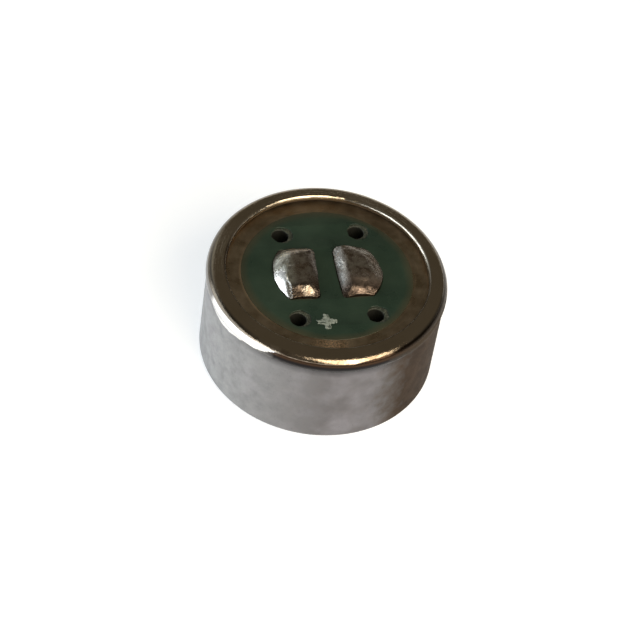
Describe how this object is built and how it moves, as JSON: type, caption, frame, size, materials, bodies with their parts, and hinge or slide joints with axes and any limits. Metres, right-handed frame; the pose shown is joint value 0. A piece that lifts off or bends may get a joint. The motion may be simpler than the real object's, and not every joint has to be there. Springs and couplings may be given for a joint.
{
  "type": "cardioid microphone capsule",
  "caption": "Cardioid electret microphone capsule: round aluminium case with a rolled rim, sound holes in front, vented circuit board and two soldered terminals behind.",
  "frame": {"origin": "centre of the case's front face, which holds the sound holes and which the capsule stands on", "axes": "+Z from the front face towards the terminals, +X from the positive terminal to the ground terminal, +Y along the gap between them, away from the plus mark"},
  "size_m": [0.0098, 0.0098, 0.0049],
  "materials": {
    "case_aluminium": "satin",
    "plated_copper": "satin",
    "laminate": "satin",
    "solder_mask": "gloss",
    "white_ink": "matte",
    "solder": "polished",
    "brass": "satin",
    "black_cloth": "matte",
    "metallised_film": "polished",
    "clear_film": "gloss",
    "insulating_plastic": "matte",
    "moulding_resin": "matte",
    "tinned_metal": "satin",
    "chip_ceramic": "satin"
  },
  "bodies": {
    "root": {"case": "case_aluminium", "front_cloth": "black_cloth", "diaphragm_ring": "brass", "diaphragm": "metallised_film", "spacer": "clear_film", "electret_film": "clear_film", "back_plate": "brass", "insulator": "insulating_plastic", "gate_ring": "brass", "damping_cloth": "black_cloth", "board": "laminate", "ground_copper": "plated_copper", "positive_pad": "plated_copper", "plated_holes": "plated_copper", "solder_mask": "solder_mask", "polarity_mark": "white_ink", "positive_solder": "solder", "ground_solder": "solder", "inner_mask": "solder_mask", "gate_copper": "plated_copper", "drain_copper": "plated_copper", "source_copper": "plated_copper", "rear_cloth": "black_cloth", "transistor_body": "moulding_resin", "transistor_leads": "tinned_metal", "capacitor_bodies": "chip_ceramic", "capacitor_ends": "tinned_metal", "inner_solder": "solder"}
  },
  "joints": []
}
